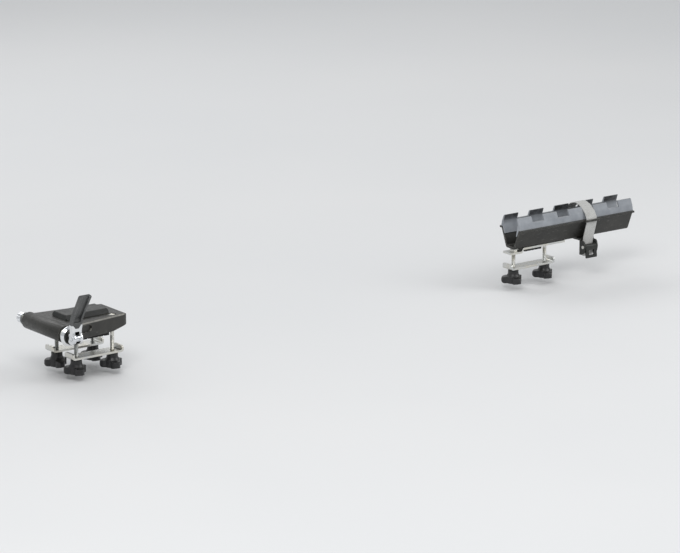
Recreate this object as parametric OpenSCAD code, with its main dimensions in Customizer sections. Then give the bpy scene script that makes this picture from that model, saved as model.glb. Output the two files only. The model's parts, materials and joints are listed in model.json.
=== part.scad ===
// Roof bar carrier for one bicycle: a fork block on the front bar, a wheel tray on the rear bar.
// X runs from the front bar to the rear bar, Z is up, and Z = 0 is the top of both bars.
// The origin is the middle of the front bar's seat. Sizes are in millimetres.

/* [Roof bars] */
// Width of a roof bar
bar_w = 32; // [24:1:50]
// Height of a roof bar
bar_h = 23; // [16:1:40]
// Distance between the two bars
bar_spacing = 800; // [500:10:1200]

/* [Clamp bolts] */
// Thread diameter of the clamp bolts
bolt_d = 6; // [5:0.5:8]
// Width across flats of a bolt head
bolt_head_af = 10; // [8:0.5:11.5]
// Height of a bolt head
bolt_head_h = 4; // [3:0.5:4.5]
// From the side of the bar to a bolt's axis
bolt_offset = 14; // [12:1:20]
// Distance between the near and far bolts of the fork block
bolt_row = 50; // [46:1:56]

/* [Clamp plates] */
// Thickness of a clamp plate
plate_t = 3; // [2:0.5:5]
// Width of a clamp plate
plate_w = 22; // [16:1:26]
// How far a clamp plate runs on past its bolts
plate_end = 12; // [9:1:18]
// Height of the turned-up ends of a clamp plate
plate_lip_h = 9; // [5:1:12]
// Outer diameter of a clamp washer
washer_d = 12; // [10:0.5:16]
// Thickness of a clamp washer
washer_t = 1.6; // [1:0.1:2.5]

/* [Knobs] */
// Diameter over the three lobes
knob_d = 36; // [30:1:44]
// Height of a knob
knob_h = 20; // [17:1:28]
// Diameter of a knob's hub
knob_hub_d = 16; // [14:1:20]
// Height of a knob's lobes
knob_lobe_h = 11; // [8:0.5:14]
// Thickness of the closed base under a knob's bore
knob_base_t = 3; // [2:0.5:5]
// Length of the threaded insert
insert_len = 12; // [8:1:13]
// Outer diameter of the threaded insert
insert_d = 10; // [9:0.5:12]

/* [Fork block] */
// Distance between the faces that the fork tips bear on
hub_width = 100; // [74:1:135]
// From the bar's centre forward to the skewer
skewer_reach = 61; // [56:1:80]
// Radius of the round nose about the skewer
nose_r = 12; // [11:0.5:16]
// Height of the block behind the nose
block_h = 22; // [20:0.5:28]
// From the bar's centre back to the block's rear end
block_tail = 54; // [48:1:64]
// Width of the block's rear end
tail_w = 62; // [60:1:90]
// How far the block's underside rises towards its rear end
tail_rise = 6; // [3:0.5:10]
// Radius of the block's upper side edges
top_edge_r = 3; // [1:0.5:4]
// Cut-back of the block's rear corners
tail_corner = 10; // [4:1:14]
// Depth of the oval hollows in the block's sides
side_hollow = 3; // [1:0.5:5]
// Length of the oval hollows
side_hollow_len = 22; // [16:1:30]
// Height of the oval hollows
side_hollow_h = 10; // [6:0.5:12]

/* [Block cover] */
// Width of the raised cover
cover_w = 38; // [30:1:39]
// Height of the raised cover
cover_h = 7; // [3:0.5:9]
// From the bar's centre forward to the cover's front edge
cover_front = 42; // [36:1:46]
// From the bar's centre back to the cover's rear edge
cover_rear = 31; // [24:1:34]
// How far the cover's sides lean in
cover_draft = 3; // [1:0.5:5]
// Depth of the well that the cover closes
well_depth = 7; // [5:0.5:10]

/* [Bar pads] */
// Thickness of the front bar pad
pad_t = 8; // [6:0.5:12]
// Depth of the pad's seat in the block
pad_seat = 2; // [1:0.5:3]
// Length of the front bar pad along the bar
pad_len = 60; // [50:1:64]
// Thickness of the rear bar pad
rear_pad_t = 3; // [2:0.5:6]
// Depth of the grooves in the pads
pad_groove = 1.2; // [0.5:0.1:1.5]

/* [Axle and skewer] */
// Diameter of the axle ends that seat the fork tips
axle_d = 9; // [8:0.5:10]
// Length of each axle end
axle_end = 5; // [4:0.5:5.5]
// Outer diameter of the axle washers
axle_washer_d = 20; // [16:0.5:22]
// Thickness of the axle washers
axle_washer_t = 3; // [2:0.5:5]
// Diameter of the skewer rod
rod_d = 5; // [4:0.5:5.5]
// Gap for a fork tip
tip_gap = 6; // [5.6:0.1:8]
// Diameter of the skewer nut's face
nut_d = 18; // [16:0.5:22]
// Length of the skewer nut
nut_len = 15; // [12:0.5:20]
// Wire diameter of the cone springs
spring_wire = 0.8; // [0.6:0.1:0.9]
// Turns of a cone spring
spring_turns = 2; // [1:0.5:2]

/* [Quick release] */
// Direction of the closed lever, up from level
lever_angle = 90; // [60:1:100]
// Length of the lever from its pivot
lever_len = 68; // [56:1:80]
// Width of the lever's grip where it starts
grip_root_w = 16; // [14:0.5:18]
// Width of the lever's grip at its tip
grip_tip_w = 18; // [14:0.5:22]
// Angle by which the grip leans outwards, clear of the fork's blade
grip_lean = 32; // [10:1:36]
// Radius of the two cams
cam_r = 8; // [7.5:0.25:9]
// How far a cam's centre lies from the pivot
cam_throw = 1; // [0.6:0.1:1.2]
// Thickness of each cam
cam_t = 4; // [3:0.5:6]
// Gap between the two cams
cam_gap = 7; // [6:0.2:10]
// Diameter of the pivot barrel
pivot_d = 9; // [8:0.5:10]
// Outer diameter of the cam washer
cup_d = 28; // [26:0.5:34]
// Height of the cam washer
cup_h = 4; // [3.5:0.1:6]
// Thickness of the cam seat under the cams
seat_floor = 4; // [3:0.5:6]
// Radius of the cam seat's hollow
seat_hollow_r = 12; // [11:0.5:14]

/* [Wheel tray] */
// Length of the tray
tray_len = 222; // [180:1:320]
// From the bar's centre forward to the tray's front end
tray_front = 36; // [34:1:60]
// Outer width of the tray's floor
tray_floor_w = 20; // [19:0.5:26]
// Outer width of the tray at its top
tray_top_w = 45; // [40:0.5:54]
// Height of the tray
tray_h = 31; // [26:0.5:40]
// Wall thickness of the tray
tray_wall = 3; // [2:0.25:3.5]
// Width of the lip along the top edges
tray_lip_w = 3.5; // [2:0.5:5]
// Height of the lip along the top edges
tray_lip_h = 3; // [2:0.5:5]

/* [Finger strips] */
// Number of fingers on each side
finger_count = 5; // [4:1:7]
// Height of the band under the fingers
band_h = 9; // [6:0.5:12]
// Height of the fingers
finger_h = 9; // [5:0.5:12]
// Thickness of the strips
finger_t = 3.5; // [2.5:0.25:5]
// How far the band leans in
band_lean = 2; // [0:0.5:3]
// How far the fingers lean in past the band
finger_lean = 4; // [0:0.5:5]
// Depth of the strip's root inside the tray
finger_root = 10; // [6:0.5:12]

/* [Tray bracket] */
// How far the bracket runs on behind its rear bolt
bracket_end = 32; // [28:1:40]
// Width of the bracket
bracket_w = 20; // [16:0.5:24]
// Thickness of the bracket
bracket_t = 3; // [2:0.5:4]
// How far the bracket's front end steps down
bracket_step = 5; // [5:0.5:7]

/* [Rivets] */
// Shank diameter of the rivets
rivet_d = 4; // [3:0.5:5]
// Head diameter of the rivets
rivet_head_d = 7.5; // [6:0.5:8]
// Head height of the rivets
rivet_head_h = 1.5; // [1:0.25:2]

/* [Wheel strap] */
// Width of the strap
strap_w = 20; // [15:0.5:25]
// Thickness of the strap
strap_t = 2; // [1.5:0.25:2.5]
// Thickness of the loop that keeps the strap on the tray's lip
keeper_t = 2.5; // [2:0.5:4]
// Height of the strap's arch above the finger band
strap_rise = 12; // [10:0.5:24]
// Tail of the strap below the buckle
strap_tail = 2; // [1:0.5:40]

/* [Buckle] */
// Height of the buckle frame below its foot
buckle_h = 22; // [18:0.5:30]
// Thickness of the buckle frame's walls
buckle_t = 2.5; // [2:0.25:3.5]
// Radius of the buckle lever's drum
drum_r = 3.9; // [3:0.1:5]
// Diameter of the buckle pin
buckle_pin_d = 3; // [2.5:0.25:4]
// Length of the buckle lever below its pin
buckle_lever_len = 17; // [14:0.5:24]
// Thickness of the buckle lever
buckle_lever_t = 3; // [2:0.25:4]

/* [Hidden] */
$fn = 64;

// Clearances
fit = 0.05;        // shafts that turn or slide in a bore
seat_gap = 0.1;    // pieces seated in each other
hole_gap = 0.3;    // bolts and rivets in their holes
soft_gap = 0.3;    // soft pieces beside hard ones
turn_gap = 0.2;    // flat faces that turn against each other
cam_gap_z = 0.35;  // cams above their seat
over = 1;          // how far a cut runs past a face

// Colours
black_nylon = [0.09, 0.085, 0.08];
black_plastic = [0.06, 0.06, 0.065];
black_rubber = [0.05, 0.05, 0.05];
grey_rubber = [0.42, 0.43, 0.45];
lever_grey = [0.22, 0.23, 0.24];
zinc = [0.74, 0.75, 0.74];
chrome = [0.86, 0.87, 0.88];
brass = [0.72, 0.58, 0.30];
webbing = [0.78, 0.78, 0.76];

// Clamp heights, downwards from the bar's top
bolt_x = bar_w / 2 + bolt_offset;
plate_top = -bar_h;
plate_bottom = plate_top - plate_t;
knob_top = plate_bottom - washer_t - turn_gap;
knob_bottom = knob_top - knob_h;
bolt_tip = knob_bottom + knob_base_t + over;
plate_half = bolt_x + plate_end;

// Fork block
block_bottom = pad_t - pad_seat;
block_top = block_bottom + block_h;
axle_z = block_bottom + nose_r;
block_half_w = hub_width / 2 - axle_washer_t;
taper_start = -skewer_reach + nose_r / 2;
taper = atan((block_half_w - tail_w / 2) / (block_tail - taper_start));
pad_w = 2 * (bolt_x - bolt_d / 2) - 10;
tail_drop = top_edge_r;
tail_slope = 2 * top_edge_r;
rise_start = bolt_x - 4;
head_seat = block_top - bolt_head_h - 0.5;
cover_wall = 4;
rim_t = 2;
rim_h = 5;
rib_t = 3;
pocket_top = block_top - well_depth - rib_t;

// Quick release, measured outwards along the skewer from the middle of the block
tip_face = hub_width / 2 + tip_gap;
cup_top = tip_face + cup_h;
cup_floor = tip_face + cup_h / 2;
hollow_bottom = cup_top + seat_floor;
pivot_z = hollow_bottom + cam_gap_z + cam_r + cam_throw;
cam_outer = cam_gap / 2 + cam_t;
head_end = 20;
head_low = 3;
head_high = 4;
neck_high = 2.8;
tang_len = 6;
notch_x = head_end - 5;
notch_root = 2.5;
notch_top = grip_root_w / 2 - 1.5;
bend_x = head_end + tang_len;
tang_w = 7;
tang_low = -1.9;
tang_high = 0.5;
seat_half = 10;
seat_horn = 4;
seat_r = cup_d / 2 - 3;
spring_pocket_r = rod_d / 2 + 4;

// Wheel tray, in the rear bar's own place
tray_z = rear_pad_t + bracket_t;
tray_top = tray_z + tray_h;
tray_rear = tray_len - tray_front;
wall_slope = (tray_top_w - tray_floor_w) / 2 / tray_h;
wall_angle = atan(wall_slope);
wall_across = tray_wall / cos(wall_angle);
floor_top = tray_z + tray_wall;
band_top = tray_top + band_h;
finger_gap = strap_w + 2.5;
finger_len = (tray_len - (finger_count - 1) * finger_gap) / finger_count;
finger_pitch = finger_len + finger_gap;
bracket_front = -bolt_x - plate_end;
bracket_rear = bolt_x + bracket_end;
step_x = bar_w / 2 + 2;
tray_rivets_x = [bracket_rear - 18, bracket_rear - 6];

// Buckle, hung under the tray's near edge at the first gap between fingers behind the bracket
strap_y = tray_floor_w / 2 + 9;
buckle_back = strap_y - strap_t / 2 - soft_gap;
pin_y = strap_y + strap_t / 2 + soft_gap + drum_r;
foot_t = 3;
foot_bottom = tray_z - foot_t;
buckle_bottom = foot_bottom - buckle_h;
pin_z = foot_bottom - 9;
cheek_in = strap_w / 2 + 0.6;
cheek_out = cheek_in + buckle_t;
first_gap = ceil((bracket_rear + cheek_out + 2 + tray_front + finger_gap / 2) / finger_pitch);
strap_x = -tray_front + first_gap * finger_pitch - finger_gap / 2;
lever_half = cheek_in - 0.4;
buckle_rivet_x = 8;

// Outer and inner half widths of the tray at a height
function wall_out(z) = tray_floor_w / 2 + wall_slope * (z - tray_z);
function wall_in(z) = wall_out(z) - wall_across;

// Closed outline with its corners rounded, one cut-back length per corner
function unit(v) = v / norm(v);
function corner(p, q, s, cut) =
    cut == 0 ? [q] :
    let (a = q + cut * unit(p - q), b = q + cut * unit(s - q), steps = 6)
    [for (i = [0:steps]) let (t = i / steps)
        (1 - t) * (1 - t) * a + 2 * t * (1 - t) * q + t * t * b];
function rounded(points, cuts) =
    let (n = len(points))
    [for (i = [0:n - 1]) each corner(points[(i + n - 1) % n], points[i], points[(i + 1) % n], cuts[i])];

// Open path with its corners rounded, and a band of even thickness along it
function smooth_path(points, cut) =
    let (n = len(points))
    [points[0], for (i = [1:n - 2]) each corner(points[i - 1], points[i], points[i + 1], cut),
     points[n - 1]];
function path_normal(path, i) =
    let (a = path[max(i - 1, 0)], b = path[min(i + 1, len(path) - 1)], d = unit(b - a))
    [-d[1], d[0]];
function ribbon(path, t) = concat(
    [for (i = [0:len(path) - 1]) path[i] + path_normal(path, i) * t / 2],
    [for (i = [len(path) - 1:-1:0]) path[i] - path_normal(path, i) * t / 2]);

// Prism of an outline drawn in X and Z, between two places along Y
module side_prism(y0, y1) {
    translate([0, y1, 0])
        rotate([90, 0, 0])
            linear_extrude(height = y1 - y0) children();
}

// Prism of an outline drawn in Y and Z, between two places along X
module cross_prism(x0, x1) {
    translate([x0, 0, 0])
        rotate([90, 0, 90])
            linear_extrude(height = x1 - x0) children();
}

// Box between two corners
module box(low, high) {
    translate(low) cube(high - low);
}

// Upright round bar between two heights
module post(x, y, z0, z1, d) {
    translate([x, y, z0]) cylinder(h = z1 - z0, d = d);
}

// Upright hexagon between two heights, flats facing along Y
module hex_post(x, y, z0, z1, across) {
    translate([x, y, z0])
        cylinder(h = z1 - z0, d = across / cos(30), $fn = 6);
}

// Place of the skewer's near end: z points outwards, x along the closed lever
module near_end() {
    translate([-skewer_reach, 0, axle_z])
        rotate([0, -lever_angle, 0])
            rotate([90, 0, 0]) children();
}

// Place of the skewer's far end: z points outwards
module far_end() {
    translate([-skewer_reach, 0, axle_z])
        rotate([-90, 0, 0]) children();
}

// Place of the rear unit
module at_rear_bar() {
    translate([bar_spacing, 0, 0]) children();
}

// Round bar along the skewer's axis, centred on the block
module axle_bar(len, d) {
    far_end() translate([0, 0, -len / 2]) cylinder(h = len, d = d);
}

// The four bolt places of the fork block
module at_block_bolts() {
    for (x = [-bolt_x, bolt_x])
        for (y = [-bolt_row / 2, bolt_row / 2])
            translate([x, y, 0]) children();
}

// Fork block: side outline and tapered plan, meeting as one moulding
module block_side() {
    translate([-skewer_reach, axle_z]) circle(r = nose_r);
    polygon(rounded(
        [[-skewer_reach, block_bottom], [rise_start, block_bottom],
         [block_tail, block_bottom + tail_rise], [block_tail, block_top - tail_drop],
         [block_tail - tail_slope, block_top], [-skewer_reach, block_top]],
        [0, 3, 2, 1.5, 2.5, 0]));
}

module block_plan() {
    nose_front = -skewer_reach - nose_r - over;
    polygon(rounded(
        [[nose_front, -block_half_w], [taper_start, -block_half_w], [block_tail, -tail_w / 2],
         [block_tail, tail_w / 2], [taper_start, block_half_w], [nose_front, block_half_w]],
        [0, 6, tail_corner, tail_corner, 6, 0]));
}

// Half width of the block at a place along X
function block_half_at(x) = block_half_w - tan(taper) * (x - taper_start);

// What rounds the upper edge of the block's tapered side
module side_edge_cut(side) {
    mirror([0, side, 0])
        translate([taper_start, block_half_w, block_top])
            rotate([0, 0, -taper])
                cross_prism(over, 2 * (block_tail + skewer_reach))
                    translate([-top_edge_r, -top_edge_r]) difference() {
                        square(2 * top_edge_r);
                        circle(r = top_edge_r);
                    }
}

// Oval hollow in the block's side, cut square to the tapered face
module side_oval(side) {
    x = -bolt_x + 6;
    z = (block_bottom + block_top) / 2 + 2;
    translate([x, side * block_half_at(x), z])
        rotate([0, 0, -side * taper])
            rotate([90, 0, 0])
                translate([0, 0, -side_hollow])
                    linear_extrude(height = 2 * side_hollow) {
                        half = (side_hollow_len - side_hollow_h) / 2;
                        translate([-half, 0]) circle(d = side_hollow_h);
                        translate([half, 0]) circle(d = side_hollow_h);
                        square([2 * half, side_hollow_h], center = true);
                    }
}

// Hollows under the block, between its ribs
module block_pockets() {
    pocket_half = bolt_row / 2 - 11;
    front = [-skewer_reach + nose_r + rib_t, -pad_w / 2 - rib_t];
    rear = [pad_w / 2 + rib_t, block_tail - rib_t - tail_corner / 2];
    for (span = [front, rear])
        for (side = [0, 1])
            mirror([0, side, 0])
                box([span[0], rib_t / 2, block_bottom - over], [span[1], pocket_half, pocket_top]);
}

module fork_block() {
    color(black_nylon)
    difference() {
        intersection() {
            side_prism(-block_half_w, block_half_w) block_side();
            linear_extrude(height = 2 * (block_bottom + 2 * nose_r + block_h)) block_plan();
        }
        axle_bar(2 * hub_width, axle_d + 2 * seat_gap);
        box([-cover_front + cover_wall, -cover_w / 2 + cover_wall, block_top - well_depth],
            [cover_rear - cover_wall, cover_w / 2 - cover_wall, block_top + over]);
        box([-pad_w / 2 - seat_gap, -pad_len / 2 - seat_gap, block_bottom - over],
            [pad_w / 2 + seat_gap, pad_len / 2 + seat_gap, block_bottom + pad_seat]);
        at_block_bolts() {
            post(0, 0, block_bottom - over, block_top, bolt_d + 2 * hole_gap);
            hex_post(0, 0, head_seat, block_top + over, bolt_head_af + 2 * hole_gap);
        }
        side_edge_cut(0);
        side_edge_cut(1);
        side_oval(-1);
        side_oval(1);
        block_pockets();
    }
}

// Raised cover: leaning sides, a rim that drops into the block's well
module block_cover() {
    top = block_top + cover_h;
    half = cover_w / 2;
    color(black_plastic)
    union() {
        intersection() {
            side_prism(-half, half) polygon(rounded(
                [[-cover_front, block_top], [cover_rear, block_top],
                 [cover_rear - cover_draft, top], [-cover_front + cover_draft, top]],
                [0, 0, 1.5, 1.5]));
            cross_prism(-cover_front, cover_rear) polygon(rounded(
                [[-half, block_top], [half, block_top], [half - cover_draft, top],
                 [-half + cover_draft, top]],
                [0, 0, 1.5, 1.5]));
            linear_extrude(height = 2 * top) polygon(rounded(
                [[-cover_front, -half], [cover_rear, -half], [cover_rear, half], [-cover_front, half]],
                [5, 5, 5, 5]));
        }
        difference() {
            cover_rim(cover_wall + seat_gap, block_top - rim_h, block_top);
            cover_rim(cover_wall + seat_gap + rim_t, block_top - rim_h - over, block_top);
        }
    }
}

// Block inside the cover's edge by an inset, between two heights
module cover_rim(inset, z0, z1) {
    box([-cover_front + inset, -cover_w / 2 + inset, z0],
        [cover_rear - inset, cover_w / 2 - inset, z1]);
}

// Rubber pad with grooves along the bar's length
module ribbed_pad(w, l, t) {
    ribs = 5;
    step = w / ribs;
    difference() {
        box([-w / 2, -l / 2, 0], [w / 2, l / 2, t]);
        for (i = [1:ribs - 1])
            translate([-w / 2 + i * step, 0, 0])
                cube([step / 4, 2 * l, 2 * pad_groove], center = true);
    }
}

module front_bar_pad() {
    color(black_rubber) ribbed_pad(pad_w, pad_len, pad_t);
}

module axle_sleeve() {
    color(zinc)
    difference() {
        axle_bar(hub_width + 2 * axle_end, axle_d);
        axle_bar(2 * hub_width, rod_d + 2 * fit);
    }
}

// Two hard washers with a chamfered rim, one on each side of the nose
module axle_washers() {
    inner = axle_d / 2 + seat_gap;
    outer = axle_washer_d / 2;
    edge = axle_washer_t / 4;
    color(zinc)
    for (side = [0, 1])
        mirror([0, side, 0])
            far_end() translate([0, 0, block_half_w])
                rotate_extrude() polygon([[inner, 0], [outer, 0], [outer, axle_washer_t - edge],
                    [outer - edge, axle_washer_t], [inner, axle_washer_t]]);
}

// Clamp bolt with a hexagon head seated at a height
module clamp_bolt(seat) {
    chamfer = bolt_d / 8;
    hex_post(0, 0, seat, seat + bolt_head_h, bolt_head_af);
    post(0, 0, bolt_tip + chamfer, seat, bolt_d);
    translate([0, 0, bolt_tip]) cylinder(h = chamfer, d1 = bolt_d - 2 * chamfer, d2 = bolt_d);
}

module front_bolts() {
    color(zinc) at_block_bolts() clamp_bolt(head_seat);
}

module skewer_rod() {
    near_len = pivot_z + pivot_d / 4;
    far_len = tip_face + nut_len + over;
    color(zinc)
    far_end() translate([0, 0, -near_len]) cylinder(h = near_len + far_len, d = rod_d);
}

// Cross barrel that the rod screws into, with dished ends
module cam_pivot() {
    half = cam_outer - seat_gap;
    color(chrome)
    near_end() difference() {
        translate([0, half, pivot_z])
            rotate([90, 0, 0]) cylinder(h = 2 * half, d = pivot_d);
        translate([0, 0, pivot_z - pivot_d])
            cylinder(h = pivot_d * 5 / 4 + fit, d = rod_d + fit);
        for (side = [-1, 1])
            translate([0, side * (half + pivot_d), pivot_z]) sphere(r = pivot_d + 0.6);
    }
}

// Cone springs: one unbroken wire from the axle's end to the pocket beyond it
spring_small = rod_d / 2 + spring_wire / 2 + 0.3;
spring_large = spring_pocket_r - spring_wire / 2 - 0.3;
spring_start = hub_width / 2 + axle_end + spring_wire / 2 + seat_gap;
spring_end = cup_floor - spring_wire / 2 - seat_gap;
spring_rings = 8 * spring_turns;
spring_sides = 6;
function spring_radius(i) = spring_small + (spring_large - spring_small) * i / spring_rings;
function spring_height(i) = spring_start + (spring_end - spring_start) * i / spring_rings;
function spring_point(i, side) =
    let (around = 45 * i, about = 360 * side / spring_sides,
         r = spring_radius(i) + spring_wire / 2 * cos(about))
    [r * cos(around), r * sin(around), spring_height(i) + spring_wire / 2 * sin(about)];
spring_points = [for (i = [0:spring_rings]) for (side = [0:spring_sides - 1]) spring_point(i, side)];
spring_walls = [for (i = [0:spring_rings - 1]) for (side = [0:spring_sides - 1])
    let (a = i * spring_sides + side, b = i * spring_sides + (side + 1) % spring_sides)
    each [[a, a + spring_sides, b], [b, a + spring_sides, b + spring_sides]]];
spring_caps = [for (side = [1:spring_sides - 2])
    let (last = spring_rings * spring_sides)
    each [[0, side, side + 1], [last, last + side + 1, last + side]]];
spring_self_gap = min([for (i = [0:spring_rings - 8]) for (j = [i + 8:spring_rings])
    let (a = [spring_radius(i) * cos(45 * i), spring_radius(i) * sin(45 * i), spring_height(i)],
         b = [spring_radius(j) * cos(45 * j), spring_radius(j) * sin(45 * j), spring_height(j)])
    norm(a - b) - spring_wire]);
echo(spring_self_gap = spring_self_gap);

module cone_spring() {
    polyhedron(points = spring_points, faces = concat(spring_walls, spring_caps));
}

module skewer_springs() {
    color(zinc) {
        near_end() cone_spring();
        far_end() cone_spring();
    }
}

// Adjusting nut: serrated face, fluted grip and a domed end
module skewer_nut() {
    hole = rod_d / 2 + fit;
    face = nut_d / 2;
    grip = face - 1.2;
    flutes = 12;
    color(chrome)
    far_end() translate([0, 0, tip_face]) difference() {
        rotate_extrude() polygon([[hole, cup_h / 2], [spring_pocket_r, cup_h / 2], [spring_pocket_r, 0],
            [face, 0], [face, cup_h * 0.6], [grip, cup_h * 0.9], [grip, nut_len - 4],
            [grip - 1, nut_len - 1.8], [grip - 3, nut_len], [hole, nut_len]]);
        for (i = [0:flutes - 1])
            rotate([0, 0, 360 * i / flutes])
                translate([grip + 0.6, 0, cup_h]) cylinder(h = nut_len, r = 1.3);
    }
}

// Chrome cup that bears on the fork tip
module cam_washer() {
    hole = rod_d / 2 + fit;
    rim = cup_d / 2;
    color(chrome)
    near_end() rotate_extrude() polygon([[hole, cup_floor], [spring_pocket_r, cup_floor],
        [spring_pocket_r, tip_face], [rim, tip_face], [rim, tip_face + cup_h * 0.35],
        [rim - 1, tip_face + cup_h * 0.55], [rim - 3, cup_top], [hole, cup_top]]);
}

// Plastic saddle under the cams
module cam_seat() {
    top = hollow_bottom + seat_horn;
    color(black_plastic)
    near_end() difference() {
        intersection() {
            union() {
                translate([0, 0, cup_top]) cylinder(h = 2.5, r = seat_r);
                box([-seat_half, -cam_outer, cup_top], [seat_half, cam_outer, top]);
            }
            translate([0, 0, cup_top]) cylinder(h = top - cup_top, r = seat_r);
        }
        translate([0, cam_outer + over, hollow_bottom + seat_hollow_r])
            rotate([90, 0, 0]) cylinder(h = 2 * (cam_outer + over), r = seat_hollow_r);
        translate([0, 0, cup_top - over]) cylinder(h = top, d = rod_d + 2 * fit);
    }
}

// Outline of a cam and its arm, in the lever's own x and z
module cam_outline() {
    translate([0, pivot_z - cam_throw]) circle(r = cam_r);
    polygon(rounded(
        [[0, pivot_z - head_low - 1], [head_end, pivot_z - head_low], [head_end, pivot_z + head_high],
         [cam_r + 1, pivot_z + neck_high], [0, pivot_z - cam_throw + cam_r]],
        [0, 1, 1, 6, 0]));
}

// Forked chrome head: two cams, a bridge that joins them, two prongs and a tang for the grip
module cam_lever() {
    bridge_start = cam_r + 2.5;
    prong = grip_root_w / 2 + 0.8;
    color(chrome)
    near_end() difference() {
        union() {
            difference() {
                intersection() {
                    side_prism(-2 * cam_outer, 2 * cam_outer) cam_outline();
                    linear_extrude(height = 2 * pivot_z) polygon(rounded(
                        [[-2 * cam_r, -cam_outer], [bridge_start, -cam_outer], [head_end, -prong],
                         [head_end, prong], [bridge_start, cam_outer], [-2 * cam_r, cam_outer]],
                        [0, 3, 0, 0, 3, 0]));
                }
                linear_extrude(height = 2 * pivot_z) polygon(
                    [[notch_x, -notch_root], [head_end, -notch_top], [head_end + over, -notch_top],
                     [head_end + over, notch_top], [head_end, notch_top], [notch_x, notch_root]]);
            }
            box([notch_x - over, -tang_w / 2, pivot_z + tang_low],
                [head_end + tang_len, tang_w / 2, pivot_z + tang_high]);
        }
        box([-2 * cam_r, -cam_gap / 2, 0], [bridge_start, cam_gap / 2, 2 * pivot_z]);
        translate([0, cam_outer + over, pivot_z])
            rotate([90, 0, 0]) cylinder(h = 2 * (cam_outer + over), d = pivot_d + 2 * fit);
    }
}

// Grip: its root wedges between the prongs, then it leans outwards, with a channel along its outer face
function grip_rise(x) = max(x - bend_x, 0) * tan(grip_lean);
module lever_grip() {
    play = 2 * seat_gap;
    low = pivot_z - head_low;
    high = pivot_z + head_high;
    edge = 2.5;
    channel = 2.6;
    tip = lever_len - 3;
    end = lever_len + over;
    color(lever_grey)
    near_end() difference() {
        intersection() {
            side_prism(-grip_tip_w, grip_tip_w) polygon(rounded(
                [[notch_x, low], [bend_x, low], [lever_len, low + grip_rise(lever_len)],
                 [tip, high + grip_rise(tip)], [bend_x, high], [notch_x, high]],
                [0, 8, 1.5, 1.5, 8, 0]));
            linear_extrude(height = 4 * pivot_z) polygon(rounded(
                [[notch_x + play, -notch_root], [head_end + play, -notch_top],
                 [head_end + play, -grip_root_w / 2], [lever_len, -grip_tip_w / 2],
                 [lever_len, grip_tip_w / 2], [head_end + play, grip_root_w / 2],
                 [head_end + play, notch_top], [notch_x + play, notch_root]],
                [0, 0, 0, 4, 4, 0, 0, 0]));
        }
        side_prism(-grip_root_w / 2 + edge, grip_root_w / 2 - edge) polygon(
            [[head_end + 3, high + over], [head_end + 5, high - channel + 1],
             [bend_x + 3, high - channel + 1], [end, high - channel + grip_rise(end)],
             [end, 2 * high], [head_end + 3, 2 * high]]);
        box([notch_x - over, -tang_w / 2 - seat_gap, pivot_z + tang_low - seat_gap],
            [head_end + tang_len + seat_gap, tang_w / 2 + seat_gap, pivot_z + tang_high + seat_gap]);
    }
}

// Clamp plate: flat strap under the bar with turned-up ends
module clamp_plate() {
    lip_top = plate_top + plate_lip_h - plate_t;
    difference() {
        intersection() {
            side_prism(-plate_w / 2, plate_w / 2) polygon(rounded(
                [[-plate_half, lip_top], [-plate_half, plate_bottom], [plate_half, plate_bottom],
                 [plate_half, lip_top], [plate_half - plate_t, lip_top],
                 [plate_half - plate_t, plate_top], [-plate_half + plate_t, plate_top],
                 [-plate_half + plate_t, lip_top]],
                [0, 4, 4, 0, 0, 1.5, 1.5, 0]));
            cross_prism(-plate_half, plate_half) polygon(rounded(
                [[-plate_w / 2, plate_bottom], [plate_w / 2, plate_bottom], [plate_w / 2, lip_top],
                 [-plate_w / 2, lip_top]],
                [0, 0, 4, 4]));
        }
        for (x = [-bolt_x, bolt_x])
            post(x, 0, plate_bottom - over, plate_top + over, bolt_d + 2 * hole_gap);
    }
}

// Pair of washers under a clamp plate
module clamp_washers() {
    for (x = [-bolt_x, bolt_x])
        difference() {
            post(x, 0, plate_bottom - washer_t, plate_bottom, washer_d);
            post(x, 0, plate_bottom - washer_t - over, plate_bottom + over, bolt_d + 2 * hole_gap);
        }
}

// Outline of a three-lobe knob
module knob_outline() {
    lobe_r = knob_d / 5.5;
    reach = knob_d / 2 - lobe_r;
    circle(d = knob_hub_d + 5);
    for (i = [0:2])
        rotate([0, 0, 120 * i + 20]) {
            translate([reach, 0]) circle(r = lobe_r);
            translate([0, -lobe_r]) square([reach, 2 * lobe_r]);
        }
}

// Knob: lobes with a rounded rim under a waisted hub, bored from above
module knob() {
    lobe_top = knob_bottom + knob_lobe_h;
    r = knob_d / 2;
    hub = knob_hub_d / 2;
    color(black_plastic)
    difference() {
        union() {
            intersection() {
                translate([0, 0, knob_bottom]) linear_extrude(height = knob_lobe_h) knob_outline();
                rotate_extrude() polygon(rounded(
                    [[0, knob_bottom], [r, knob_bottom], [r, lobe_top - 2], [hub, lobe_top], [0, lobe_top]],
                    [0, 4, 3, 0, 0]));
            }
            rotate_extrude() polygon(rounded(
                [[0, lobe_top - over], [hub + 3, lobe_top - over], [hub, lobe_top + 3],
                 [hub, knob_top], [0, knob_top]],
                [0, 0, 2, 1, 0]));
        }
        post(0, 0, bolt_tip - over / 2, knob_top + over, bolt_d + 2 * hole_gap);
        post(0, 0, knob_top - insert_len - seat_gap, knob_top + over, insert_d + 2 * seat_gap);
    }
}

// Threaded insert inside a knob, with a groove round its middle
module knob_insert() {
    bottom = knob_top - insert_len;
    middle = knob_top - insert_len / 2;
    color(brass)
    difference() {
        post(0, 0, bottom, knob_top - seat_gap, insert_d);
        post(0, 0, bottom - over, knob_top + over, bolt_d + 2 * fit);
        difference() {
            post(0, 0, middle - 1, middle + 1, insert_d + over);
            post(0, 0, middle - 2, middle + 2, insert_d - 1);
        }
    }
}

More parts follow.
